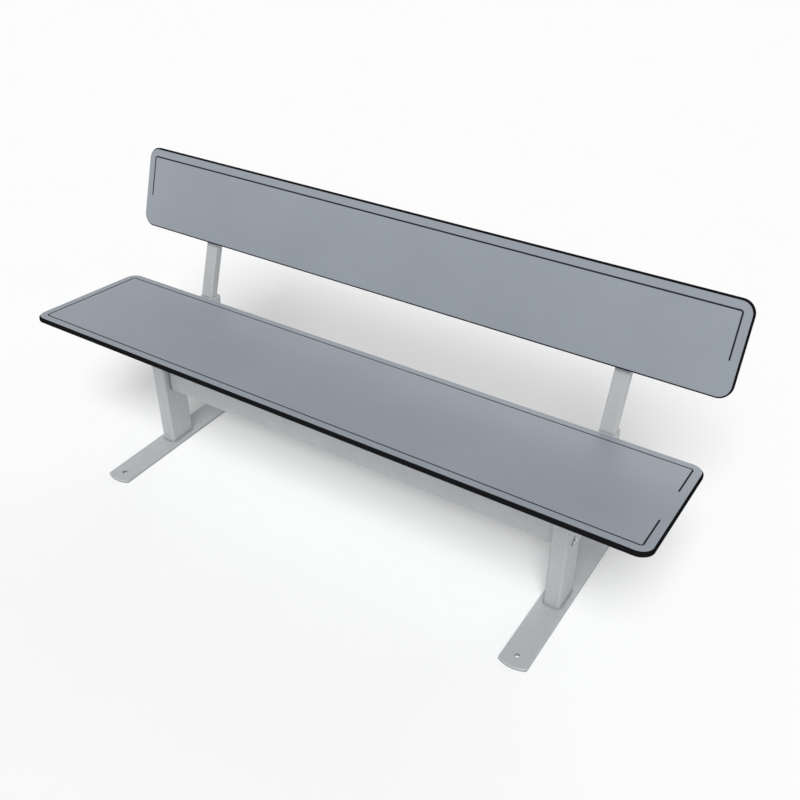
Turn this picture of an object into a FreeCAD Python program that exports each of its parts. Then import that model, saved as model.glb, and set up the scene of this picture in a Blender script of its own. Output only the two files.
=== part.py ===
import FreeCAD, Part
import math
import os

from FreeCAD import Placement, Rotation, Vector

# Park bench: a laminate seat and backrest on two welded side frames, with a beam bolted between the legs.
# x runs along the bench, y from front to back and z up, in millimetres and degrees.
# The origin is on the ground, in the middle of the rectangle of anchor holes, midway between the legs.

# Boards
bench_length = 1800.0
panel_thickness = 13.0
panel_corner_radius = 35.0
face_bevel = 3.5              # edges of the face that is sat on or leant on
hidden_bevel = 1.0            # edges of the other face

# Milled line near the edge of the boards
groove_inset = 26.0           # edge of the board to the middle of the line
groove_width = 4.0
groove_depth = 1.5
groove_corner_radius = 6.0
groove_least_radius = 0.5     # on the inner side of a corner

# Seat
seat_depth = 384.0            # along the slope
seat_slope = 5.0              # falls towards the back
seat_front_height = 456.0
seat_groove_gap = 127.0       # plain stretch in the line at the right end

# Backrest
backrest_height = 232.5       # along the lean
backrest_lean = 18.5          # from upright
backrest_setback = 69.0       # lower edge behind the seat's rear edge
backrest_rise = 140.8         # lower edge above the seat's rear edge
backrest_groove_drop = 113.0  # how far the line runs down both ends

# Feet
foot_length = 560.0
foot_width = 75.0
foot_thickness = 8.0
foot_end_radius = 75.0
foot_edge_bevel = 1.0
anchor_hole_diameter = 14.0
anchor_hole_inset = 36.0      # tip of the foot to the middle of the hole

# Legs
leg_inset = 257.5             # end of the boards to the middle of the leg
leg_width = 44.0
leg_depth = 85.0
leg_wall = 3.0
leg_corner_radius = 7.0
leg_setback = 32.0            # middle of the leg behind the middle of the seat
leg_advance = 18.0            # middle of the leg before the middle of the foot

# Cross beam
beam_height = 80.0
beam_depth = 40.0
beam_wall = 3.0
beam_corner_radius = 6.0
beam_ground_clearance = 188.0
beam_plate_thickness = 10.0

# Arms under the seat
arm_width = 44.0
arm_depth = 40.0
arm_wall = 3.0
arm_corner_radius = 5.0
arm_front_setback = 75.0      # behind the seat's front edge
arm_rear_overhang = 8.0       # behind the post

# Posts behind the backrest
post_width = 40.0
post_depth = 25.0
post_wall = 2.0
post_corner_radius = 3.0
post_top_drop = 30.0          # below the backrest's upper edge

# Flat rails that stiffen the boards
rail_thickness = 8.0
rail_width = 50.0
rail_overhang = 100.0         # past the middle of the leg
seat_front_rail_inset = 105.0
seat_rear_rail_inset = 80.0
backrest_rail_inset = 60.0

# Plugs in the tube ends
cap_flange = 3.0
cap_core_depth = 12.0
cap_clearance = 0.2           # between the core and the tube, all round

# Screws that hold the boards on the rails
screw_diameter = 8.0
screw_flats = 13.0
screw_head = 5.3
screw_grip = 8.0              # in the board
screw_tip_gap = 1.0           # tip of the screw to the bottom of its pocket
screw_inset = 110.0           # from the middle of the leg, towards the middle of the bench

# Bolts of the beam
beam_bolt_diameter = 10.0
beam_bolt_spacing = 48.0
beam_bolt_head_diameter = 18.0
beam_bolt_crown_diameter = 11.0
beam_bolt_head = 5.0
beam_bolt_socket_flats = 6.0
beam_bolt_socket_depth = 3.0
beam_washer_diameter = 28.0
beam_washer_thickness = 1.5

# Clearances on the radius
hole_clearance = 0.5          # in a drilled hole
thread_clearance = 0.1        # in a tapped hole

# Frames of the boards: x along the bench, y across the board from its front or lower edge,
# z out of the face that is sat on or leant on
x_axis = Vector(1, 0, 0)
y_axis = Vector(0, 1, 0)
seat_front_reach = seat_depth / 2 + leg_setback
seat_front_edge = Vector(0, -leg_advance - seat_front_reach, seat_front_height)
seat_place = Placement(seat_front_edge, Rotation(x_axis, -seat_slope))
seat_rear_edge = seat_place.multVec(Vector(0, seat_depth, 0))
backrest_corner = seat_rear_edge + Vector(0, backrest_setback, backrest_rise)
backrest_place = Placement(backrest_corner, Rotation(x_axis, 90 - backrest_lean))

# Levels below the boards' faces, in those frames
board_back = -panel_thickness
rail_back = board_back - rail_thickness
arm_bottom = rail_back - arm_depth
arm_middle = rail_back - arm_depth / 2
post_rear = rail_back - post_depth
post_middle = rail_back - post_depth / 2

# Places that more than one piece uses
side_signs = {"left": -1, "right": 1}
half_spacing = bench_length / 2 - leg_inset
screw_columns = [screw_inset - half_spacing, half_spacing - screw_inset]
seat_rail_lines = {"front": seat_front_rail_inset, "rear": seat_depth - seat_rear_rail_inset}
backrest_rail_lines = {"lower": backrest_rail_inset, "upper": backrest_height - backrest_rail_inset}
post_top = backrest_height - post_top_drop
beam_length = 2 * half_spacing - leg_width
beam_middle_height = beam_ground_clearance + beam_height / 2
beam_bolt_offsets = [-beam_bolt_spacing / 2, beam_bolt_spacing / 2]

# Turns of a piece that is made along z
turn_to_rear = Rotation(x_axis, -90)
turn_to_front = Rotation(x_axis, 90)
turn_to_right = Rotation(y_axis, 90)
inward_turns = {"left": turn_to_right, "right": Rotation(y_axis, -90)}


def at(x, y, z, turn=Rotation()):
    return Placement(Vector(x, y, z), turn)


def put(shape, *steps):
    total = Placement()
    for step in steps:
        total = total.multiply(step)
    placed = shape.copy()
    placed.Placement = total.multiply(shape.Placement)
    return placed


def upright_edges(shape):
    return [edge for edge in shape.Edges if abs(edge.tangentAt(edge.FirstParameter).z) > 0.999]


def edges_at(shape, height):
    return [edge for edge in shape.Edges if all(abs(vertex.Z - height) < 1e-6 for vertex in edge.Vertexes)]


# A block that stands on z = 0 around the z axis
def block(width, depth, height):
    return Part.makeBox(width, depth, height, Vector(-width / 2, -depth / 2, 0))


def rounded_bar(width, depth, height, radius):
    bar = block(width, depth, height)
    return bar.makeFillet(radius, upright_edges(bar))


# The bore is left square, because both ends of every tube are closed
def rectangular_tube(width, depth, length, wall, radius):
    bore = block(width - 2 * wall, depth - 2 * wall, length)
    return rounded_bar(width, depth, length, radius).cut(bore)


# A plug with a flange on the tube's end at z = 0 and a core inside the tube
def tube_cap(width, depth, wall, radius):
    inset = wall + cap_clearance
    flange = rounded_bar(width, depth, cap_flange, radius)
    core = block(width - 2 * inset, depth - 2 * inset, cap_core_depth)
    return flange.fuse(put(core, at(0, 0, -cap_core_depth)))


def hexagonal_bar(flats, height):
    radius = flats / math.sqrt(3)
    angles = [math.radians(60 * corner) for corner in range(7)]
    corners = [Vector(radius * math.cos(angle), radius * math.sin(angle), 0) for angle in angles]
    return Part.Face(Part.makePolygon(corners)).extrude(Vector(0, 0, height))


# Screws and bolts have the head below z = 0 and the shank above it
def hexagonal_screw(reach):
    head = put(hexagonal_bar(screw_flats, screw_head), at(0, 0, -screw_head))
    return head.fuse(Part.makeCylinder(screw_diameter / 2, reach))


def button_bolt(reach):
    crown = Vector(0, 0, -beam_bolt_head)
    head = Part.makeCone(beam_bolt_crown_diameter / 2, beam_bolt_head_diameter / 2, beam_bolt_head, crown)
    socket = hexagonal_bar(beam_bolt_socket_flats, beam_bolt_socket_depth)
    head = head.cut(put(socket, at(0, 0, -beam_bolt_head)))
    return head.fuse(Part.makeCylinder(beam_bolt_diameter / 2, reach))


def beam_washer():
    hole = Part.makeCylinder(beam_bolt_diameter / 2 + hole_clearance, beam_washer_thickness)
    return Part.makeCylinder(beam_washer_diameter / 2, beam_washer_thickness).cut(hole)


# Closed line that follows the board's outline
def milled_loop(depth):
    length = bench_length - 2 * groove_inset
    across = depth - 2 * groove_inset
    half = groove_width / 2
    inner_radius = max(groove_corner_radius - half, groove_least_radius)
    outer_radius = groove_corner_radius + half
    outer = rounded_bar(length + groove_width, across + groove_width, groove_depth, outer_radius)
    inner = rounded_bar(length - groove_width, across - groove_width, groove_depth, inner_radius)
    return put(outer.cut(inner), at(0, depth / 2, -groove_depth))


# The cutter's round end where a line stops
def line_ends(spots):
    return [Part.makeCylinder(groove_width / 2, groove_depth, Vector(x, y, -groove_depth)) for x, y in spots]


def seat_line():
    right_leg = bench_length / 2 - groove_inset
    gap_start = (seat_depth - seat_groove_gap) / 2
    corner = Vector(right_leg - groove_width / 2, gap_start, -groove_depth)
    gap = Part.makeBox(groove_width, seat_groove_gap, groove_depth, corner)
    ends = line_ends([(right_leg, gap_start), (right_leg, gap_start + seat_groove_gap)])
    return milled_loop(seat_depth).cut(gap).fuse(ends).removeSplitter()


def backrest_line():
    right_leg = bench_length / 2 - groove_inset
    line_end = backrest_height - groove_inset - backrest_groove_drop
    plain = Part.makeBox(bench_length, line_end, groove_depth, Vector(-bench_length / 2, 0, -groove_depth))
    ends = line_ends([(-right_leg, line_end), (right_leg, line_end)])
    return milled_loop(backrest_height).cut(plain).fuse(ends).removeSplitter()


# A laminate board with its face at z = 0, bevelled edges, a milled line and blind pockets for the screws
def board(depth, line, screw_lines):
    blank = rounded_bar(bench_length, depth, panel_thickness, panel_corner_radius)
    blank = put(blank, at(0, depth / 2, board_back))
    blank = blank.makeChamfer(face_bevel, edges_at(blank, 0))
    blank = blank.makeChamfer(hidden_bevel, edges_at(blank, board_back))
    radius = screw_diameter / 2 + thread_clearance
    for x in screw_columns:
        for y in screw_lines:
            pocket = Part.makeCylinder(radius, screw_grip + screw_tip_gap, Vector(x, y, board_back))
            blank = blank.cut(pocket)
    return blank.cut(line)


def rail(line):
    bar = block(2 * (half_spacing + rail_overhang), rail_width, rail_thickness)
    bar = put(bar, at(0, line, rail_back))
    radius = screw_diameter / 2 + hole_clearance
    for x in screw_columns:
        bar = bar.cut(Part.makeCylinder(radius, rail_thickness, Vector(x, line, rail_back)))
    return bar


# Screws from behind the rails into the board
def board_screws(lines):
    screw = hexagonal_screw(rail_thickness + screw_grip)
    return Part.makeCompound([put(screw, at(x, y, rail_back)) for x in screw_columns for y in lines])


# Where a plane of the post crosses the arm's top: along the post, and along the arm
def post_on_arm(level):
    to_seat = seat_place.inverse().multiply(backrest_place)
    low = to_seat.multVec(Vector(0, 0, level))
    high = to_seat.multVec(Vector(0, backrest_height, level))
    share = (rail_back - low.z) / (high.z - low.z)
    return share * backrest_height, low.y + share * (high.y - low.y)


arm_end = post_on_arm(post_rear)[1] + arm_rear_overhang


def seat_arm(x):
    tube = rectangular_tube(arm_width, arm_depth, arm_end - arm_front_setback, arm_wall, arm_corner_radius)
    return put(tube, seat_place, at(x, arm_front_setback, arm_middle, turn_to_rear))


# The post's foot is cut to the slope of the arm
def back_post(x):
    front_start, front_on_arm = post_on_arm(rail_back)
    rear_start, rear_on_arm = post_on_arm(post_rear)
    start = min(front_start, rear_start)
    tube = rectangular_tube(post_width, post_depth, post_top - start, post_wall, post_corner_radius)
    tube = put(tube, backrest_place, at(x, start, post_middle, turn_to_rear))
    reach = rear_on_arm - front_on_arm + 2 * post_depth
    corner = Vector(x - post_width / 2, front_on_arm - post_depth, rail_back - post_depth)
    return tube.cut(put(Part.makeBox(post_width, reach, post_depth, corner), seat_place))


def arm_underside(y):
    start = seat_place.multVec(Vector(0, 0, arm_bottom))
    return start.z - (y - start.y) * math.tan(math.radians(seat_slope))


# The leg's top is cut to the slope of the arm
def leg(x):
    top = max(arm_underside(-leg_advance - leg_depth / 2), arm_underside(leg_depth / 2 - leg_advance))
    tube = rectangular_tube(leg_width, leg_depth, top - foot_thickness, leg_wall, leg_corner_radius)
    tube = put(tube, at(x, -leg_advance, foot_thickness))
    corner = Vector(x - leg_width / 2, seat_front_reach - leg_depth, arm_bottom)
    tube = tube.cut(put(Part.makeBox(leg_width, 2 * leg_depth, leg_depth, corner), seat_place))
    radius = beam_bolt_diameter / 2 + hole_clearance
    for offset in beam_bolt_offsets:
        start = Vector(x - leg_width / 2, -leg_advance, beam_middle_height + offset)
        tube = tube.cut(Part.makeCylinder(radius, leg_width, start, x_axis))
    return tube


# A flat bar with arc-shaped ends and an anchor hole near each
def foot(x):
    half_width = foot_width / 2
    tip = foot_length / 2
    shoulder = tip - foot_end_radius + math.sqrt(foot_end_radius ** 2 - half_width ** 2)
    front_left = Vector(-half_width, -shoulder, 0)
    front_right = Vector(half_width, -shoulder, 0)
    rear_left = Vector(-half_width, shoulder, 0)
    rear_right = Vector(half_width, shoulder, 0)
    front_end = Part.Arc(front_left, Vector(0, -tip, 0), front_right).toShape()
    rear_end = Part.Arc(rear_right, Vector(0, tip, 0), rear_left).toShape()
    right_side = Part.makeLine(front_right, rear_right)
    left_side = Part.makeLine(rear_left, front_left)
    outline = Part.Wire([front_end, right_side, rear_end, left_side])
    bar = Part.Face(outline).extrude(Vector(0, 0, foot_thickness))
    bar = bar.makeChamfer(foot_edge_bevel, edges_at(bar, foot_thickness))
    for end in (-1, 1):
        middle = Vector(0, end * (tip - anchor_hole_inset), 0)
        bar = bar.cut(Part.makeCylinder(anchor_hole_diameter / 2, foot_thickness, middle))
    return put(bar, at(x, 0, 0))


def cross_beam():
    tube = rectangular_tube(beam_height, beam_depth, beam_length, beam_wall, beam_corner_radius)
    return put(tube, at(-beam_length / 2, -leg_advance, beam_middle_height, turn_to_right))


# A tapped plate that fills the end of the beam, which ends at z = 0
def beam_plate():
    plate = block(beam_height - 2 * beam_wall, beam_depth - 2 * beam_wall, beam_plate_thickness)
    radius = beam_bolt_diameter / 2 + thread_clearance
    for offset in beam_bolt_offsets:
        plate = plate.cut(Part.makeCylinder(radius, beam_plate_thickness, Vector(offset, 0, 0)))
    return plate


# The same shapes at both legs, from this distance to the bench's middle inwards
def at_both_legs(shapes, distance):
    placed = []
    for side, sign in side_signs.items():
        beam_end = at(sign * distance, -leg_advance, beam_middle_height, inward_turns[side])
        placed += [put(shape, beam_end) for shape in shapes]
    return Part.makeCompound(placed)


def at_beam_bolts(shape):
    pair = [put(shape, at(offset, 0, 0)) for offset in beam_bolt_offsets]
    return at_both_legs(pair, half_spacing + leg_width / 2 + beam_washer_thickness)


def arm_caps(x):
    cap = tube_cap(arm_width, arm_depth, arm_wall, arm_corner_radius)
    front = at(x, arm_front_setback, arm_middle, turn_to_front)
    rear = at(x, arm_end, arm_middle, turn_to_rear)
    return Part.makeCompound([put(cap, seat_place, end) for end in (front, rear)])


def post_caps():
    cap = tube_cap(post_width, post_depth, post_wall, post_corner_radius)
    tops = [at(sign * half_spacing, post_top, post_middle, turn_to_rear) for sign in side_signs.values()]
    return Part.makeCompound([put(cap, backrest_place, top) for top in tops])


seat_board = board(seat_depth, seat_line(), seat_rail_lines.values())
backrest_board = board(backrest_height, backrest_line(), backrest_rail_lines.values())
beam_bolt = button_bolt(beam_washer_thickness + leg_width + beam_plate_thickness)
nodes = {
    "seat_panel": put(seat_board, seat_place),
    "backrest_panel": put(backrest_board, backrest_place),
    "seat_screws": put(board_screws(seat_rail_lines.values()), seat_place),
    "backrest_screws": put(board_screws(backrest_rail_lines.values()), backrest_place),
    "post_caps": post_caps(),
    "cross_beam": cross_beam(),
    "beam_plates": at_both_legs([beam_plate()], beam_length / 2),
    "beam_bolts": at_beam_bolts(beam_bolt),
    "beam_washers": at_beam_bolts(beam_washer()),
}
for rail_name, rail_line in seat_rail_lines.items():
    nodes["seat_" + rail_name + "_rail"] = put(rail(rail_line), seat_place)
for rail_name, rail_line in backrest_rail_lines.items():
    nodes["backrest_" + rail_name + "_rail"] = put(rail(rail_line), backrest_place)
for side, sign in side_signs.items():
    nodes[side + "_foot"] = foot(sign * half_spacing)
    nodes[side + "_leg"] = leg(sign * half_spacing)
    nodes[side + "_seat_arm"] = seat_arm(sign * half_spacing)
    nodes[side + "_arm_caps"] = arm_caps(sign * half_spacing)
    nodes[side + "_back_post"] = back_post(sign * half_spacing)

os.makedirs("parts", exist_ok=True)
for node_name, node_shape in nodes.items():
    node_shape.exportStep("parts/" + node_name + ".step")
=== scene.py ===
import bpy
import math
import numpy as np
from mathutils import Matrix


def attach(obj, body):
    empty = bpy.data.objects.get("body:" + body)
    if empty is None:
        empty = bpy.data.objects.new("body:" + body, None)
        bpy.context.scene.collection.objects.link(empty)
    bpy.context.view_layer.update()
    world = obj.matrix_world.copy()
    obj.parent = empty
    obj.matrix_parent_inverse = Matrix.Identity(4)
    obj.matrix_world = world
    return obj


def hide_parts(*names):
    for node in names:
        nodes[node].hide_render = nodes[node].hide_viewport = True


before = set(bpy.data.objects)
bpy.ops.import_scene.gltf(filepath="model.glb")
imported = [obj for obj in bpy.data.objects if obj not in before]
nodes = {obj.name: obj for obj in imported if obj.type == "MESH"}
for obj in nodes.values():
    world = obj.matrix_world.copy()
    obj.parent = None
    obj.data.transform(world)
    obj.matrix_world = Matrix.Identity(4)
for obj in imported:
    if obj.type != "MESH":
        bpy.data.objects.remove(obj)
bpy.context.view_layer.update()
print("frame loaded,", len(nodes), "pieces")


# Reading the frame

def nodePoints(name):  # all corner points of a frame piece as one array
    vertices = nodes[name].data.vertices
    flat = np.empty(len(vertices) * 3, np.float32)
    vertices.foreach_get("co", flat)
    return flat.reshape(-1, 3).astype(float)


def flatAxes(name, facing):  # along the bench, across the piece, and out of its side that faces that way
    polygons = nodes[name].data.polygons
    areas = np.empty(len(polygons), np.float32)
    normals = np.empty(len(polygons) * 3, np.float32)
    polygons.foreach_get("area", areas)
    polygons.foreach_get("normal", normals)
    largest = normals.reshape(-1, 3)[areas.argmax()].astype(float)
    out = largest * np.sign(largest @ facing)
    along = np.array([1.0, 0.0, 0.0])
    return np.array([along, np.cross(out, along), out])


def boxAlong(name, axes):  # lowest and highest corner of a frame piece in those axes
    local = nodePoints(name) @ axes.T
    return local.min(axis=0), local.max(axis=0)


frontUp = np.array([0.0, -1.0, 0.5])
seatAxes = flatAxes("seat_panel", np.array([0.0, 0.0, 1.0]))
backrestAxes = flatAxes("backrest_panel", frontUp)
levelAxes = np.eye(3)


# Shapes as arrays: a piece is a stack of closed rings, rows by points around by three

def roundedOutline(sideX, sideY, cornerSteps):
    # A point of a rounded rectangle is a weight times its core rectangle plus the corner radius times an
    # outward direction. Sides take the weight from -1 to 1, corners turn the direction by a quarter.
    acrossX = 2 * np.asarray(sideX) - 1
    acrossY = 2 * np.asarray(sideY) - 1
    endX, endY = np.ones_like(acrossX), np.ones_like(acrossY)
    sides = [(endY, acrossY), (-acrossX, endX), (-endY, -acrossY), (acrossX, -endX)]
    facing = [(1, 0), (0, 1), (-1, 0), (0, -1)]
    corners = [(1, 1), (-1, 1), (-1, -1), (1, -1)]
    turn = np.linspace(0, math.pi / 2, cornerSteps)
    weights, outward = [], []
    for quarter in range(4):
        side = np.column_stack(sides[quarter])
        angle = turn + quarter * math.pi / 2
        weights += [side, np.tile(corners[quarter], (cornerSteps, 1))]
        outward += [np.tile(facing[quarter], (len(side), 1)), np.column_stack([np.cos(angle), np.sin(angle)])]
    return np.vstack(weights), np.vstack(outward)


def insetRings(outline, half, radii, profile):
    # Each profile row (inset, height) is the outline drawn in by its inset, with that row's corner radius.
    weights, outward = outline
    inset = profile[:, 0, None, None]
    radius = np.asarray(radii)[:, None, None]
    flat = weights * (half - inset - radius) + radius * outward
    height = np.broadcast_to(profile[:, 1, None, None], flat[..., :1].shape)
    return np.concatenate([flat, height], axis=2)


def softCorners(points, cut, steps=5, spare=1.6):
    # Each inner corner of a line becomes a parabola that leaves and meets the flats one cut away from it,
    # with one more point on both flats, spare cuts away, to keep them flat.
    points = np.asarray(points, float)
    corner = points[1:-1]
    back = points[:-2] - corner
    ahead = points[2:] - corner
    back /= np.linalg.norm(back, axis=1, keepdims=True)
    ahead /= np.linalg.norm(ahead, axis=1, keepdims=True)
    t = np.linspace(0, 1, steps)[:, None, None]
    bend = corner + cut * ((1 - t) ** 2 * back + t ** 2 * ahead)
    before, after = corner + spare * cut * back, corner + spare * cut * ahead
    rows = np.concatenate([before[None], bend, after[None]])
    return np.vstack([points[:1], rows.transpose(1, 0, 2).reshape(-1, 2), points[-1:]])


def turnedRings(profile, steps):
    # Each profile row (half width across flats, greatest radius, height) is a hexagon trimmed by a circle:
    # the radius at an angle is the smaller of the two.
    angle = np.arange(steps) * 2 * math.pi / steps
    hexagon = 1 / np.cos((angle + math.pi / 6) % (math.pi / 3) - math.pi / 6)
    flats, limit, height = (np.asarray(column, float)[:, None] for column in zip(*profile))
    radius = np.minimum(flats * hexagon, limit)
    height = np.broadcast_to(height, radius.shape)
    return np.stack([radius * np.cos(angle), radius * np.sin(angle), height], axis=2)


def beadRings(path, outward, up, radius, ripple, pitch, steps=10):
    # A weld bead is a circle carried along a closed path, whose radius swells once every pitch.
    run = np.linalg.norm(np.roll(path, -1, axis=0) - path, axis=1)
    travel = np.cumsum(run) - run
    count = max(round(run.sum() / pitch), 3)
    size = radius * (1 + ripple * np.abs(np.sin(math.pi * count * travel / run.sum())))[:, None, None]
    angle = (np.arange(steps) * 2 * math.pi / steps)[None, :, None]
    return path[:, None] + size * (np.cos(angle) * outward[:, None] + np.sin(angle) * up)


def gridFaces(rows, around, endless=False):  # quads between neighbouring rings, and a lid on both ends
    row = np.arange(rows if endless else rows - 1)[:, None]
    step = np.arange(around)[None, :]
    ahead = (step + 1) % around
    above = (row + 1) % rows
    corners = [row * around + step, row * around + ahead, above * around + ahead, above * around + step]
    quads = np.stack(corners, axis=2).reshape(-1, 4)
    lids = [] if endless else [np.arange(around)[::-1], np.arange(around) + (rows - 1) * around]
    return quads, lids


def signedVolume(points, faces):  # above zero when the faces look outwards
    a, b, c, d = (points[faces[:, corner]] for corner in range(4))
    return (np.cross(b - a, c - a) * a).sum() + (np.cross(c - a, d - a) * a).sum()


def makePiece(name, solids, materials, endless=False):  # solids are arrays of rings in the room's axes
    points, faces, start = [], [], 0
    for rings in solids:
        rows, around = rings.shape[:2]
        flat = rings.reshape(-1, 3)
        quads, lids = gridFaces(rows, around, endless)
        inward = signedVolume(flat - flat.mean(axis=0), quads) < 0
        step = -1 if inward else 1
        faces += (quads[:, ::step] + start).tolist() + [(lid[::step] + start).tolist() for lid in lids]
        points.append(flat)
        start += len(flat)
    mesh = bpy.data.meshes.new(name)
    mesh.from_pydata(np.vstack(points).tolist(), [], faces)
    mesh.shade_smooth()
    piece = bpy.data.objects.new(name, mesh)
    bpy.context.scene.collection.objects.link(piece)
    for material in materials:
        mesh.materials.append(material)
    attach(piece, "root")
    return piece


# Material building

def addNode(tree, kind, values=(), links=(), **settings):
    node = tree.nodes.new(kind)
    for key, value in settings.items():
        setattr(node, key, value)
    for key, value in dict(values).items():
        node.inputs[key].default_value = value
    for key, socket in dict(links).items():
        tree.links.new(socket, node.inputs[key])
    return node


def newGroup(name, inputs, outputs):
    group = bpy.data.node_groups.new(name, "ShaderNodeTree")
    for label, kind, value in inputs:
        socket = group.interface.new_socket(label, in_out="INPUT", socket_type=kind)
        if value is not None:
            socket.default_value = value
    for label, kind in outputs:
        group.interface.new_socket(label, in_out="OUTPUT", socket_type=kind)
    return group, group.nodes.new("NodeGroupInput").outputs, group.nodes.new("NodeGroupOutput").inputs


def newMaterial(name):
    material = bpy.data.materials.new(name)
    material.use_nodes = True
    tree = material.node_tree
    return material, tree, tree.nodes["Principled BSDF"]


def placeGroup(tree, group, values, links):
    return addNode(tree, "ShaderNodeGroup", values, links, node_tree=group).outputs


def mixColour(tree, factor, low, high):  # factor, and both colours as sockets or values
    node = addNode(tree, "ShaderNodeMix", data_type="RGBA")
    for index, value in ((0, factor), (6, low), (7, high)):
        if isinstance(value, bpy.types.NodeSocket):
            tree.links.new(value, node.inputs[index])
        else:
            node.inputs[index].default_value = value
    return node.outputs[2]


def ramp(tree, value, fromLow, fromHigh, toLow, toHigh):
    node = addNode(tree, "ShaderNodeMapRange", links={"Value": value},
                   values={"From Min": fromLow, "From Max": fromHigh, "To Min": toLow, "To Max": toHigh})
    return node.outputs["Result"]


def grainGroup():  # fine pores for the height and broad clouds for the tone, both from 0 to 1
    inputs = [("Vector", "NodeSocketVector", None), ("Pores", "NodeSocketFloat", 900.0),
              ("Clouds", "NodeSocketFloat", 5.0)]
    outputs = [("Height", "NodeSocketFloat"), ("Tone", "NodeSocketFloat")]
    group, inlet, outlet = newGroup("fineGrain", inputs, outputs)
    pores = addNode(group, "ShaderNodeTexNoise", values={"Detail": 3.0, "Roughness": 0.6},
                    links={"Vector": inlet["Vector"], "Scale": inlet["Pores"]})
    clouds = addNode(group, "ShaderNodeTexNoise", values={"Detail": 4.0, "Roughness": 0.55},
                     links={"Vector": inlet["Vector"], "Scale": inlet["Clouds"]})
    group.links.new(ramp(group, pores.outputs["Fac"], 0.3, 0.7, 0.0, 1.0), outlet["Height"])
    group.links.new(ramp(group, clouds.outputs["Fac"], 0.3, 0.7, 0.0, 1.0), outlet["Tone"])
    return group


def rubGroup():  # rounded normal of sharp edges, and a broken mask where hands and shoes rub them
    inputs = [("Vector", "NodeSocketVector", None), ("Radius", "NodeSocketFloat", 0.001)]
    outputs = [("Normal", "NodeSocketVector"), ("Mask", "NodeSocketFloat")]
    group, inlet, outlet = newGroup("rubbedEdges", inputs, outputs)
    soft = addNode(group, "ShaderNodeBevel", samples=6, links={"Radius": inlet["Radius"]})
    flat = addNode(group, "ShaderNodeNewGeometry")
    agree = addNode(group, "ShaderNodeVectorMath", operation="DOT_PRODUCT",
                    links={0: soft.outputs["Normal"], 1: flat.outputs["Normal"]})
    edge = ramp(group, agree.outputs["Value"], 0.995, 0.9, 0.0, 1.0)
    chips = addNode(group, "ShaderNodeTexNoise", values={"Scale": 160.0, "Detail": 4.0},
                    links={"Vector": inlet["Vector"]})
    gaps = ramp(group, chips.outputs["Fac"], 0.45, 0.65, 0.0, 1.0)
    broken = addNode(group, "ShaderNodeMath", operation="MULTIPLY", links={0: edge, 1: gaps})
    group.links.new(soft.outputs["Normal"], outlet["Normal"])
    group.links.new(broken.outputs["Value"], outlet["Mask"])
    return group


def spangleGroup():  # zinc crystals: cells of uneven tone, with their borders slightly sunk
    inputs = [("Vector", "NodeSocketVector", None), ("Cells", "NodeSocketFloat", 85.0)]
    outputs = [("Tone", "NodeSocketFloat"), ("Height", "NodeSocketFloat")]
    group, inlet, outlet = newGroup("zincSpangle", inputs, outputs)
    sway = addNode(group, "ShaderNodeTexNoise", values={"Scale": 60.0, "Detail": 3.0},
                   links={"Vector": inlet["Vector"]})
    drift = addNode(group, "ShaderNodeVectorMath", operation="MULTIPLY_ADD",
                    values={1: (0.012, 0.012, 0.012)}, links={0: sway.outputs["Color"], 2: inlet["Vector"]})
    cells = addNode(group, "ShaderNodeTexVoronoi",
                    links={"Vector": drift.outputs["Vector"], "Scale": inlet["Cells"]})
    split = addNode(group, "ShaderNodeSeparateColor", links={"Color": cells.outputs["Color"]})
    group.links.new(split.outputs["Red"], outlet["Tone"])
    group.links.new(ramp(group, cells.outputs["Distance"], 0.0, 0.6, 1.0, 0.0), outlet["Height"])
    return group


def paintedShadeGroup():  # painted shade: an ambient-occlusion mask that darkens corners and holes, broken up by a noise
    inputs = [("Vector", "NodeSocketVector", None), ("Reach", "NodeSocketFloat", 0.01)]
    group, inlet, outlet = newGroup("paintedCornerShade", inputs, [("Mask", "NodeSocketFloat")])
    clear = addNode(group, "ShaderNodeAmbientOcclusion", samples=8, links={"Distance": inlet["Reach"]})
    shadeNoise = addNode(group, "ShaderNodeTexNoise", values={"Scale": 140.0, "Detail": 4.0},
                     links={"Vector": inlet["Vector"]})
    shut = ramp(group, clear.outputs["AO"], 0.85, 0.35, 0.0, 1.0)
    uneven = ramp(group, shadeNoise.outputs["Fac"], 0.3, 0.7, 0.7, 1.0)
    mask = addNode(group, "ShaderNodeMath", operation="MULTIPLY", links={0: shut, 1: uneven})
    group.links.new(mask.outputs["Value"], outlet["Mask"])
    return group


fineGrain = grainGroup()
rubbedEdges = rubGroup()
zincSpangle = spangleGroup()
# painted shade in corners and holes, from ambient occlusion
paintedCornerShade = paintedShadeGroup()


# What every finish here shares; pores, clouds and crystals are counted per metre

def objectPlace(tree):
    return addNode(tree, "ShaderNodeTexCoord").outputs["Object"]


def grainOf(tree, place, finish):
    scales = {"Pores": finish["pores"], "Clouds": finish["clouds"]}
    return placeGroup(tree, fineGrain, scales, {"Vector": place})


def rubOf(tree, place, finish):
    return placeGroup(tree, rubbedEdges, {"Radius": finish["rubRadius"]}, {"Vector": place})


# mask of the painted shade in corners and holes
def paintedShadeOf(tree, place, finish):
    return placeGroup(tree, paintedCornerShade, {"Reach": finish["shadeReach"]}, {"Vector": place})["Mask"]


def rubColour(tree, rub, colour, finish):
    amount = ramp(tree, rub["Mask"], 0.0, 1.0, 0.0, finish["rubAmount"])
    return mixColour(tree, amount, colour, finish["rubbed"])


def linkSurface(tree, shader, finish, smooth, height, normal=None):  # roughness by smooth, bump by height
    start, end = finish["roughness"]
    tree.links.new(ramp(tree, smooth, 0.0, 1.0, start, end), shader.inputs["Roughness"])
    bump = addNode(tree, "ShaderNodeBump", links={"Height": height},
                   values={"Strength": finish["bump"], "Distance": finish["bumpDepth"]})
    if normal is not None:
        tree.links.new(normal, bump.inputs["Normal"])
    tree.links.new(bump.outputs["Normal"], shader.inputs["Normal"])


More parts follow.
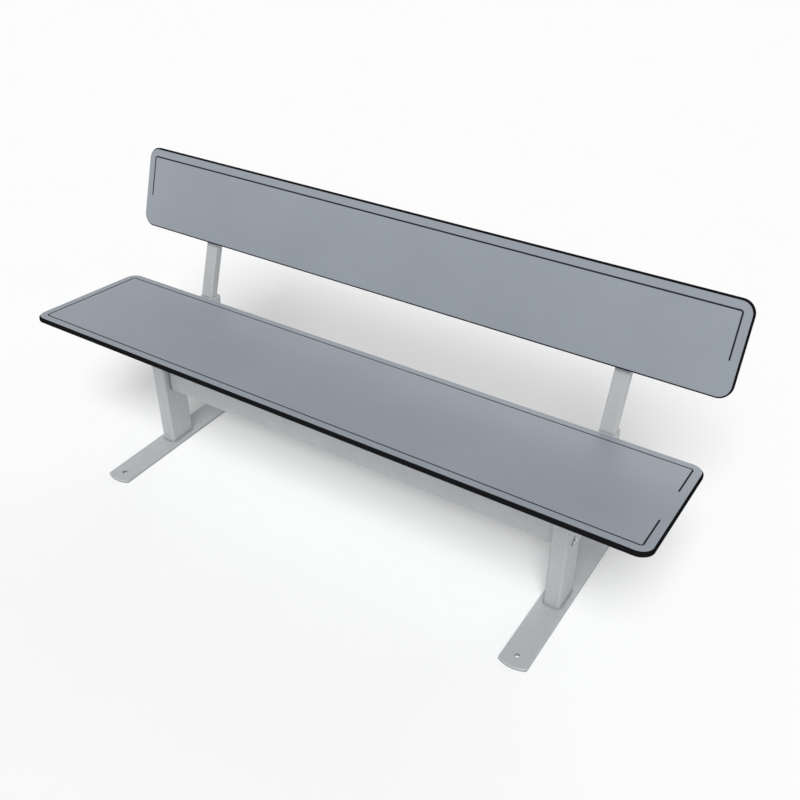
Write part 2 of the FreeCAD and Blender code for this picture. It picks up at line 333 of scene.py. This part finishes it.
decorFinish = {
    "dark": (0.236, 0.264, 0.299, 1.0),
    "light": (0.259, 0.288, 0.324, 1.0),
    "fleck": 0.10,           # how much the pores darken the tone
    "roughness": (0.40, 0.50),
    "pores": 1400.0,
    "clouds": 4.0,
    "bump": 0.12,
    "bumpDepth": 0.0002,
}
coreFinish = {
    "dark": (0.005, 0.005, 0.006, 1.0),
    "light": (0.011, 0.011, 0.012, 1.0),
    "rubbed": (0.06, 0.06, 0.062, 1.0),
    "rubRadius": 0.0008,
    "rubAmount": 0.25,
    "shine": 0.0,            # milled edges are dull
    "roughness": (0.45, 0.55),
    "pores": 1400.0,
    "clouds": 4.0,
    "bump": 0.12,
    "bumpDepth": 0.0002,
}
dustColours = {"dark": (0.022, 0.024, 0.027, 1.0), "light": (0.028, 0.030, 0.033, 1.0)}
lineFinish = {**coreFinish, **dustColours}                                # dust lies in the milled line


def decorMaterial(finish):  # satin printed sheet with a faint pore
    material, tree, shader = newMaterial("laminate")
    grain = grainOf(tree, objectPlace(tree), finish)
    tone = mixColour(tree, grain["Tone"], finish["dark"], finish["light"])
    fleck = ramp(tree, grain["Height"], 0.0, 1.0, 0.0, finish["fleck"])
    tree.links.new(mixColour(tree, fleck, tone, finish["dark"]), shader.inputs["Base Color"])
    linkSurface(tree, shader, finish, grain["Height"], grain["Height"])
    return material


def coreMaterial(name, finish):  # black core of the milled edges, greyer where they are rubbed
    material, tree, shader = newMaterial(name)
    place = objectPlace(tree)
    grain = grainOf(tree, place, finish)
    tone = mixColour(tree, grain["Height"], finish["dark"], finish["light"])
    worn = rubColour(tree, rubOf(tree, place, finish), tone, finish)
    tree.links.new(worn, shader.inputs["Base Color"])
    shader.inputs["Specular IOR Level"].default_value = finish["shine"]
    linkSurface(tree, shader, finish, grain["Height"], grain["Height"])
    return material


galvanisedFinish = {
    "dark": (0.418, 0.434, 0.444, 1.0),
    "light": (0.462, 0.478, 0.488, 1.0),
    "rubbed": (0.54, 0.55, 0.56, 1.0),
    "rubRadius": 0.0012,
    "rubAmount": 0.4,
    # painted shade: colour and reach of the ambient-occlusion darkening in corners and holes
    "paintedShade": (0.09, 0.09, 0.09, 1.0),
    "shadeReach": 0.012,
    "metal": (0.20, 0.1),    # of the dulled zinc and of the painted shade
    "shine": 0.3,
    "roughness": (0.60, 0.42),
    "pores": 700.0,
    "clouds": 7.0,
    "cells": 85.0,
    "cellTone": 0.8,         # the crystals' share beside the clouds
    "cellHeight": 0.6,       # and beside the pores
    "bump": 0.10,
    "bumpDepth": 0.0004,
}
# painted shade: the weld beads are coloured darker than the zinc to stand for the shadow along the joints
weldShadeColours = {"dark": (0.31, 0.32, 0.325, 1.0), "light": (0.40, 0.41, 0.415, 1.0),
               "rubbed": (0.43, 0.44, 0.445, 1.0)}
weldShadedFinish = {**galvanisedFinish, **weldShadeColours, "bump": 0.25}


def galvanisedMaterial(name, finish):  # dull zinc with faint crystals
    material, tree, shader = newMaterial(name)
    place = objectPlace(tree)
    crystals = placeGroup(tree, zincSpangle, {"Cells": finish["cells"]}, {"Vector": place})
    grain = grainOf(tree, place, finish)
    rub = rubOf(tree, place, finish)
    paintedShade = paintedShadeOf(tree, place, finish)
    mixed = addNode(tree, "ShaderNodeMath", operation="MULTIPLY_ADD", values={1: finish["cellTone"]},
                    links={0: crystals["Tone"], 2: grain["Tone"]})
    tone = ramp(tree, mixed.outputs["Value"], 0.1, 1.7, 0.0, 1.0)
    zinc = mixColour(tree, tone, finish["dark"], finish["light"])
    worn = rubColour(tree, rub, zinc, finish)
    # painted shade: corners and holes are mixed towards the dark shade colour and made less metallic
    tree.links.new(mixColour(tree, paintedShade, worn, finish["paintedShade"]), shader.inputs["Base Color"])
    tree.links.new(ramp(tree, paintedShade, 0.0, 1.0, *finish["metal"]), shader.inputs["Metallic"])
    shader.inputs["Specular IOR Level"].default_value = finish["shine"]
    height = addNode(tree, "ShaderNodeMath", operation="MULTIPLY_ADD", values={1: finish["cellHeight"]},
                     links={0: crystals["Height"], 2: grain["Height"]})
    linkSurface(tree, shader, finish, tone, height.outputs["Value"], rub["Normal"])
    return material


stainlessFinish = {
    "dark": (0.40, 0.40, 0.40, 1.0),
    "light": (0.52, 0.52, 0.515, 1.0),
    "rubbed": (0.52, 0.52, 0.515, 1.0),
    "rubRadius": 0.0004,
    "rubAmount": 1.0,
    # painted shade: colour and reach of the ambient-occlusion darkening in corners and holes
    "paintedShade": (0.05, 0.05, 0.05, 1.0),
    "shadeReach": 0.004,
    "metal": (1.0, 0.2),     # of the steel and of the painted shade
    "roughness": (0.34, 0.48),
    "pores": 2600.0,
    "clouds": 120.0,
    "bump": 0.08,
    "bumpDepth": 0.0001,
}


def stainlessMaterial(finish):  # satin steel with fine pressing marks
    material, tree, shader = newMaterial("stainless")
    place = objectPlace(tree)
    grain = grainOf(tree, place, finish)
    paintedShade = paintedShadeOf(tree, place, finish)
    steel = mixColour(tree, grain["Tone"], finish["dark"], finish["light"])
    worn = rubColour(tree, rubOf(tree, place, finish), steel, finish)
    # painted shade: corners and holes are mixed towards the dark shade colour and made less metallic
    tree.links.new(mixColour(tree, paintedShade, worn, finish["paintedShade"]), shader.inputs["Base Color"])
    tree.links.new(ramp(tree, paintedShade, 0.0, 1.0, *finish["metal"]), shader.inputs["Metallic"])
    linkSurface(tree, shader, finish, grain["Height"], grain["Height"])
    return material


plasticFinish = {
    "dark": (0.016, 0.016, 0.017, 1.0),
    "light": (0.028, 0.028, 0.029, 1.0),
    "rubbed": (0.07, 0.07, 0.072, 1.0),
    "rubRadius": 0.0006,
    "rubAmount": 0.4,
    "roughness": (0.45, 0.62),
    "pores": 1800.0,
    "clouds": 40.0,
    "bump": 0.2,
    "bumpDepth": 0.0002,
}


def plasticMaterial(finish):  # moulded plastic with a spark-eroded grain
    material, tree, shader = newMaterial("blackPlastic")
    place = objectPlace(tree)
    grain = grainOf(tree, place, finish)
    tone = mixColour(tree, grain["Tone"], finish["dark"], finish["light"])
    worn = rubColour(tree, rubOf(tree, place, finish), tone, finish)
    tree.links.new(worn, shader.inputs["Base Color"])
    linkSurface(tree, shader, finish, grain["Height"], grain["Height"])
    return material


laminate = decorMaterial(decorFinish)
laminateCore = coreMaterial("laminateCore", coreFinish)
dustyLine = coreMaterial("dustyLine", lineFinish)
galvanised = galvanisedMaterial("galvanised", galvanisedFinish)
# weld beads, coloured darker as painted shade along the joints
weldZincShaded = galvanisedMaterial("weldZincShaded", weldShadedFinish)
stainless = stainlessMaterial(stainlessFinish)
blackPlastic = plasticMaterial(plasticFinish)
slotMaterials = {"laminate": laminate, "galvanised_steel": galvanised, "stainless_fastener": stainless,
                 "black_plastic": blackPlastic}
for node in nodes.values():
    node.data.materials[0] = slotMaterials[node.data.materials[0].name]
print("materials made,", len(bpy.data.materials))


# Seat and backrest boards

boardShape = {
    "cornerRadius": 0.035,
    "faceBevel": 0.0046,
    "backBevel": 0.001,
    "softEdge": 0.0004,      # rounding of the bevels' edges
    "sheet": 0.0005,         # decor sheet on the core
    "lineInset": 0.026,      # edge of the board to the middle of the milled line
    "lineWidth": 0.004,
    "lineDepth": 0.0015,
    "lineCorner": 0.006,
    "wall": 0.00012,         # half the width of the line's walls as seen from above
    "backRim": 0.010,        # edge of the board to the first row on the back
    "faceRim": 0.012,        # edge of the board to the last row before the line
    "lineRim": 0.012,        # middle of the line to the last row
    "coreFrom": 0.6,         # share of the sheet's thickness below which the core shows
    "rowsAlong": 61,
    "rowsAcross": 33,
    "cornerSteps": 19,
}
seatLine = {"openFrom": 0.1285, "openTo": 0.2555, "openSides": (1,)}     # from the front edge, right end only
backrestLine = {"openFrom": 0.0, "openTo": 0.0935, "openSides": (-1, 1)}  # from the lower edge, both ends


def boardRings(shape, line, size):
    # The section (inset, height) goes from the back over the edge to the face. The face sinks by the line's
    # depth where the distance to the line's middle, round its stops too, is under half its width.
    length, depth, thick = size
    bevel, back, wall = shape["faceBevel"], shape["backBevel"], shape["wall"]
    inset, halfWidth = shape["lineInset"], shape["lineWidth"] / 2
    edge = [(shape["backRim"], -thick), (back, -thick), (0, back - thick), (0, -bevel), (bevel, 0),
            (shape["faceRim"], 0)]
    section = softCorners(edge, shape["softEdge"])
    ridge = halfWidth + wall * np.array([-1.0, -0.4, 0.0, 0.4, 1.0, 4.0])
    across = np.concatenate([-ridge[::-1], np.linspace(-0.75, 0.75, 5) * halfWidth, ridge,
                             [shape["lineRim"]]])
    rows = np.vstack([section, np.column_stack([inset + across, np.zeros_like(across)])])
    shrink = (shape["cornerRadius"] - shape["lineCorner"]) / inset
    radii = np.maximum(shape["cornerRadius"] - shrink * rows[:, 0], halfWidth / 2)
    straight = depth - 2 * (inset + shape["lineCorner"])
    stops = np.array([line["openFrom"], line["openTo"]]) - inset - shape["lineCorner"]
    fine = (stops[:, None] + np.linspace(-2, 2, 33) * halfWidth).ravel() / straight
    sideX = np.linspace(0.01, 0.99, shape["rowsAlong"])
    sideY = np.union1d(np.linspace(0.02, 0.98, shape["rowsAcross"]), fine[(fine > 0.01) & (fine < 0.99)])
    outline = roundedOutline(sideX, sideY, shape["cornerSteps"])
    rings = insetRings(outline, np.array([length, depth]) / 2, radii, rows)
    fromEdge = rings[..., 1] + depth / 2
    beyond = np.minimum(fromEdge - line["openFrom"], line["openTo"] - fromEdge)
    openSide = np.isin(np.sign(rings[..., 0]), line["openSides"])
    beyond = np.where(openSide, np.maximum(beyond, 0), 0)
    away = np.hypot(rows[:, 0, None] - inset, beyond)
    sunk = np.clip((halfWidth + wall - away) / (2 * wall), 0, 1)
    rings[..., 2] -= shape["lineDepth"] * sunk ** 2 * (3 - 2 * sunk) * (rows[:, 1, None] == 0)
    return rings, len(section)


def makeBoard(name, node, axes, line):
    low, high = boxAlong(node, axes)
    size = high - low
    rings, edgeRows = boardRings(boardShape, line, size)
    depths = -rings[..., 2]
    buried = np.minimum(depths, size[2] - depths)                     # below the nearer face
    middle = (low + high) / 2
    middle[2] = high[2]
    piece = makePiece(name, [(rings + middle) @ axes], [laminate, laminateCore, dustyLine])
    pair = buried + np.roll(buried, -1, axis=1)
    quad = (pair[:-1] + pair[1:]) / 4
    isCore = quad > boardShape["sheet"] * boardShape["coreFrom"]
    finish = isCore.astype(np.int32)                                  # 0 decor, 1 core, 2 milled line
    finish[edgeRows:] *= 2
    piece.data.polygons.foreach_set("material_index", np.append(finish, np.zeros(2, np.int32)))
    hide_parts(node)
    return piece


seatBoard = makeBoard("seatBoard", "seat_panel", seatAxes, seatLine)
backrestBoard = makeBoard("backrestBoard", "backrest_panel", backrestAxes, backrestLine)
print("boards made,", len(seatBoard.data.polygons), "and", len(backrestBoard.data.polygons), "faces")


# Plugs in the tube ends

plugShape = {
    "flange": 0.003,
    "edge": 0.0012,
    "crown": 0.0004,
    "crownShare": 0.6,       # of half the plug's height, where its slope ends
    "rim": 0.002,            # width of the row on the tube's end
    "leastRadius": 0.0006,
    "armCorner": 0.005,
    "postCorner": 0.003,
    "sideSteps": 9,
    "cornerSteps": 11,
}


def plugRings(shape, half, corner):  # flange on z = 0 with rounded edges and a slightly crowned face
    flange, inner = shape["flange"], min(half) * shape["crownShare"]
    face = flange - shape["crown"]
    rows = softCorners([(shape["rim"], 0), (0, 0), (0, face), (inner, flange)], shape["edge"])
    rows[:, 1] = np.clip(rows[:, 1], 0, flange)
    side = np.linspace(0.05, 0.95, shape["sideSteps"])
    outline = roundedOutline(side, side, shape["cornerSteps"])
    return insetRings(outline, np.asarray(half), np.maximum(corner - rows[:, 0], shape["leastRadius"]), rows)


def makeArmPlugs(side):
    node = side + "_arm_caps"
    low, high = boxAlong(node, seatAxes)
    half = [(high[0] - low[0]) / 2, (high[2] - low[2]) / 2]
    rings = plugRings(plugShape, half, plugShape["armCorner"])
    x, z, out = rings[..., 0], rings[..., 1], rings[..., 2]
    middle = (low + high) / 2
    front = np.stack([middle[0] + x, low[1] + plugShape["flange"] - out, middle[2] + z], axis=2)
    rear = np.stack([middle[0] + x, high[1] - plugShape["flange"] + out, middle[2] + z], axis=2)
    piece = makePiece(side + "ArmPlugs", [front @ seatAxes, rear @ seatAxes], [blackPlastic])
    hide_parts(node)


def makePostPlugs():
    low, high = boxAlong("post_caps", backrestAxes)
    postLow, postHigh = boxAlong("right_back_post", backrestAxes)
    half = [(postHigh[0] - postLow[0]) / 2, (high[2] - low[2]) / 2]
    rings = plugRings(plugShape, half, plugShape["postCorner"])
    x, z, out = rings[..., 0], rings[..., 1], rings[..., 2]
    centre = (postLow[0] + postHigh[0]) / 2
    top = high[1] - plugShape["flange"] + out
    level = (low[2] + high[2]) / 2 + z
    solids = [np.stack([side * centre + x, top, level], axis=2) @ backrestAxes for side in (-1, 1)]
    piece = makePiece("postPlugs", solids, [blackPlastic])
    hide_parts("post_caps")


makeArmPlugs("left")
makeArmPlugs("right")
makePostPlugs()
print("plugs made")


# Bolts and washers of the beam, screws of the boards

boltShape = {
    "crown": 0.0048,         # radius of the flat on the dome
    "brim": 0.0008,          # height of the upright edge below the dome
    "undercut": 0.0003,      # of the head's underside
    "socketFlats": 0.0060,
    "socketDepth": 0.0030,
    "socketLead": 0.0005,    # chamfer at the socket's mouth
    "socketBend": 0.0002,    # rounding at its floor
    "drillRadius": 0.0006,
    "drillDepth": 0.0010,
    "shank": 0.0050,
    "shankReach": 0.020,
    "domeSteps": 14,
    "steps": 72,
}
screwShape = {
    "flats": 0.013,
    "head": 0.0053,
    "shank": 0.004,
    "shankReach": 0.012,
    "chamfer": 0.0006,
    "chamferReach": 0.0018,  # how far down the cone cuts the corners
    "collar": 0.0003,        # round step under the head
    "crownInset": 0.0016,    # flats to the inner row of the top
    "steps": 72,
}
washerShape = {"thickness": 0.0015, "bore": 0.0055, "edge": 0.0004, "underRow": 0.002, "steps": 64}
unbounded = 1.0                                                           # a radius that trims nothing


def boltRings(shape, radius, height):
    # Shank, brim, then a dome whose radius and height follow the cosine and sine of a quarter turn, then down
    # into the hexagon socket with its chamfer and drilled floor.
    quarter = np.linspace(0, math.pi / 2, shape["domeSteps"])
    domeRadius = shape["crown"] + (radius - shape["crown"]) * np.cos(quarter)
    domeHeight = shape["brim"] + (height - shape["brim"]) * np.sin(quarter)
    dome = np.column_stack([np.full(len(quarter), unbounded), domeRadius, domeHeight])
    flats, floor = shape["socketFlats"] / 2, height - shape["socketDepth"]
    lead, bend = shape["socketLead"], shape["socketBend"]
    socket = [(flats + lead, unbounded, height), (flats + 0.2 * lead, unbounded, height - 0.6 * lead),
              (flats, unbounded, height - 1.2 * lead), (flats, unbounded, floor + bend),
              (flats - bend, unbounded, floor),
              (unbounded, shape["drillRadius"], floor - shape["drillDepth"])]
    shank = [(unbounded, shape["shank"], -shape["shankReach"]), (unbounded, shape["shank"], 0),
             (unbounded, radius - shape["undercut"], 0)]
    return turnedRings(np.vstack([shank, dome, socket]), shape["steps"])


def screwRings(shape):
    # Short shank and round collar, then a hexagon whose upper corners are cut by a cone: the radius grows by
    # the square root of three for each step down from the top.
    flats, head, collar = shape["flats"] / 2, shape["head"], shape["collar"]
    down = np.linspace(shape["chamferReach"], 0, 8)
    coneRadius = flats - shape["chamfer"] + down * math.sqrt(3)
    crest = np.column_stack([np.full(len(down), flats), coneRadius, head - down])
    foot = [(unbounded, shape["shank"], -shape["shankReach"]), (unbounded, shape["shank"], 0),
            (unbounded, flats - collar, 0), (unbounded, flats - collar * 2 / 3, collar),
            (flats, unbounded, collar)]
    top = [(unbounded, flats - shape["crownInset"], head)]
    return turnedRings(np.vstack([foot, crest, top]), shape["steps"])


def washerRings(shape, radius):  # closed ring: a rounded section turned about its axis
    thick, bore = shape["thickness"], shape["bore"]
    under = (bore + shape["underRow"], 0)
    line = softCorners([under, (bore, 0), (bore, thick), (radius, thick), (radius, 0), under], shape["edge"])
    angle = np.arange(shape["steps"]) * 2 * math.pi / shape["steps"]
    reach, height = line[:-1, 0, None], line[:-1, 1, None]
    height = np.broadcast_to(height, (len(height), len(angle)))
    return np.stack([reach * np.cos(angle), reach * np.sin(angle), height], axis=2)


def facingOut(rings, x, y, z, side):  # turns a piece made along z to look out of the bench's end
    return np.stack([x + side * rings[..., 2], y + rings[..., 0], z + rings[..., 1]], axis=2)


def makeBeamFixings():
    low, high = boxAlong("beam_bolts", levelAxes)
    washerLow, washerHigh = boxAlong("beam_washers", levelAxes)
    radius = (high[1] - low[1]) / 2
    heights = (low[2] + radius, high[2] - radius)
    bolt = boltRings(boltShape, radius, high[0] - washerHigh[0])
    washer = washerRings(washerShape, (washerHigh[1] - washerLow[1]) / 2)
    seat, y = washerHigh[0], (low[1] + high[1]) / 2
    spots = [(side, z) for side in (-1, 1) for z in heights]
    under = seat - washerShape["thickness"]
    boltSolids = [facingOut(bolt, side * seat, y, z, side) for side, z in spots]
    washerSolids = [facingOut(washer, side * under, y, z, side) for side, z in spots]
    bolts = makePiece("beamBolts", boltSolids, [stainless])
    washers = makePiece("beamWashers", washerSolids, [stainless], endless=True)
    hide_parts("beam_bolts")
    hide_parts("beam_washers")


def makeScrews(name, node, axes):
    low, high = boxAlong(node, axes)
    flats = screwShape["flats"] / 2
    corner = flats * 2 / math.sqrt(3)
    rings = screwRings(screwShape)
    seat = low[2] + screwShape["head"]
    across, along, out = rings[..., 0], rings[..., 1], seat - rings[..., 2]
    solids = []
    for x in (low[0] + corner, high[0] - corner):
        for y in (low[1] + flats, high[1] - flats):
            solids.append(np.stack([x + across, y + along, out], axis=2) @ axes)
    piece = makePiece(name, solids, [stainless])
    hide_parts(node)


makeBeamFixings()
makeScrews("seatScrews", "seat_screws", seatAxes)
makeScrews("backrestScrews", "backrest_screws", backrestAxes)
print("fixings made")


# Weld beads where the side frames' pieces meet

weldShape = {"leg": 0.0020, "arm": 0.0014, "post": 0.0008, "ripple": 0.22, "pitch": 0.0042,
             "legCorner": 0.007, "postCorner": 0.003, "sideSteps": 60, "cornerSteps": 14}


def beadRound(half, corner, radius, toRoom, up):  # a bead round a rounded rectangle, placed by toRoom
    side = np.linspace(0.01, 0.99, weldShape["sideSteps"])
    weights, outward = roundedOutline(side, side, weldShape["cornerSteps"])
    flat = weights * (np.asarray(half) - corner) + corner * outward
    path = toRoom(np.column_stack([flat, np.zeros(len(flat))]))
    tip = toRoom(np.column_stack([flat + outward, np.zeros(len(flat))]))
    return beadRings(path, tip - path, up, radius, weldShape["ripple"], weldShape["pitch"])


def makeWelds(side):
    legLow, legHigh = boxAlong(side + "_leg", levelAxes)
    legHalf = (legHigh - legLow)[:2] / 2
    legMiddle = (legLow + legHigh) / 2
    onFoot = np.array([legMiddle[0], legMiddle[1], legLow[2]])

    def onFootTop(points):  # lays the leg's outline on the foot
        return points + onFoot

    foot = beadRound(legHalf, weldShape["legCorner"], weldShape["leg"], onFootTop, levelAxes[2])
    armLow, armHigh = boxAlong(side + "_seat_arm", seatAxes)
    underArm = armLow[2] * seatAxes[2]
    slope = seatAxes[1][2] / seatAxes[1][1]
    level = underArm[2] - underArm[1] * slope

    def onArm(points):  # drops the leg's outline onto the arm's underside
        shifted = points + np.array([legMiddle[0], legMiddle[1], 0])
        return np.column_stack([shifted[:, :2], level + shifted[:, 1] * slope])

    arm = beadRound(legHalf, weldShape["legCorner"], weldShape["arm"], onArm, seatAxes[2])
    postLow, postHigh = boxAlong(side + "_back_post", backrestAxes)
    postHalf = (postHigh - postLow)[[0, 2]] / 2
    postMiddle = (postLow + postHigh) / 2
    armTop = armHigh[2]

    def onArmTop(points):  # slides the post's outline down along the post to the arm's top
        x, z = postMiddle[0] + points[:, 0], postMiddle[2] + points[:, 1]
        local = np.column_stack([x, np.zeros_like(x), z])
        room = local @ backrestAxes
        drop = (armTop - room @ seatAxes[2]) / (backrestAxes[1] @ seatAxes[2])
        return room + drop[:, None] * backrestAxes[1]

    post = beadRound(postHalf, weldShape["postCorner"], weldShape["post"], onArmTop, seatAxes[2])
    piece = makePiece(side + "Welds", [foot, arm, post], [weldZincShaded], endless=True)


makeWelds("left")
makeWelds("right")
print("welds made")


# Floor, light and camera

stageShape = {
    "floorSize": 30.0,
    "floorCells": 12,
    "floorColour": (0.967, 0.967, 0.967, 1.0),
    "floorShade": 0.995,     # tone of its faint clouds
    "sky": 0.32,
}
floorFinish = {"pores": 300.0, "clouds": 1.5}
lampShape = {                                                             # degrees, bearing 0 is the front
    "key": {"bearing": 24.0, "height": 48.5, "spread": 30.0, "strength": 2.65},
    "fill": {"bearing": 180.0, "height": 12.0, "spread": 60.0, "strength": 0.80},
}
cameraView = {"place": (1.2281, -1.6853, 1.7979), "pitch": 34.64, "yaw": 32.36, "focalPixels": 966.17,
              "framePixels": 800, "sensor": 36.0}


def makeFloor(shape):  # an even grid of squares at z = 0
    half, cells = shape["floorSize"] / 2, shape["floorCells"]
    ticks = np.linspace(-half, half, cells + 1)
    x, y = np.meshgrid(ticks, ticks, indexing="ij")
    points = np.stack([x, y, np.zeros_like(x)], axis=2).reshape(-1, 3)
    row = cells + 1
    cell = np.arange(cells)[:, None] * row + np.arange(cells)[None, :]
    faces = np.stack([cell, cell + row, cell + row + 1, cell + 1], axis=2).reshape(-1, 4)
    mesh = bpy.data.meshes.new("floor")
    mesh.from_pydata(points.tolist(), [], faces.tolist())
    floor = bpy.data.objects.new("floor", mesh)
    bpy.context.scene.collection.objects.link(floor)
    material, tree, shader = newMaterial("floorPaint")
    grain = grainOf(tree, objectPlace(tree), floorFinish)
    soft = tuple(shape["floorShade"] * value for value in shape["floorColour"][:3]) + (1.0,)
    tree.links.new(mixColour(tree, grain["Tone"], soft, shape["floorColour"]), shader.inputs["Base Color"])
    shader.inputs["Roughness"].default_value = 0.9
    shader.inputs["Specular IOR Level"].default_value = 0.0
    mesh.materials.append(material)


def makeSky(strength):  # even white light; seen directly or mirrored, it is plain white
    world = bpy.data.worlds.new("sky")
    world.use_nodes = True
    tree = world.node_tree
    rays = addNode(tree, "ShaderNodeLightPath").outputs
    seen = addNode(tree, "ShaderNodeMath", operation="MAXIMUM",
                   links={0: rays["Is Camera Ray"], 1: rays["Is Transmission Ray"]})
    shown = addNode(tree, "ShaderNodeMath", operation="MAXIMUM",
                    links={0: seen.outputs["Value"], 1: rays["Is Glossy Ray"]})
    background = tree.nodes["Background"]
    background.inputs["Color"].default_value = (1, 1, 1, 1)
    tree.links.new(ramp(tree, shown.outputs["Value"], 0.0, 1.0, strength, 1.0), background.inputs["Strength"])
    bpy.context.scene.world = world


def makeLamp(name, light):
    lamp = bpy.data.lights.new(name, "SUN")
    lamp.angle = math.radians(light["spread"])
    lamp.energy = light["strength"]
    holder = bpy.data.objects.new(name, lamp)
    holder.rotation_euler = (math.radians(90 - light["height"]), 0, math.radians(light["bearing"]))
    bpy.context.scene.collection.objects.link(holder)


def makeCamera(view):
    lens = bpy.data.cameras.new("camera")
    lens.sensor_width = view["sensor"]
    lens.lens = view["focalPixels"] / view["framePixels"] * view["sensor"]
    lens.clip_end = 100
    camera = bpy.data.objects.new("camera", lens)
    camera.location = view["place"]
    camera.rotation_euler = (math.radians(90 - view["pitch"]), 0, math.radians(view["yaw"]))
    bpy.context.scene.collection.objects.link(camera)
    bpy.context.scene.camera = camera


makeFloor(stageShape)
makeSky(stageShape["sky"])
for lampName, lampLight in lampShape.items():
    makeLamp(lampName, lampLight)
makeCamera(cameraView)
bpy.context.scene.view_settings.view_transform = "Standard"
print("floor, light and camera made")
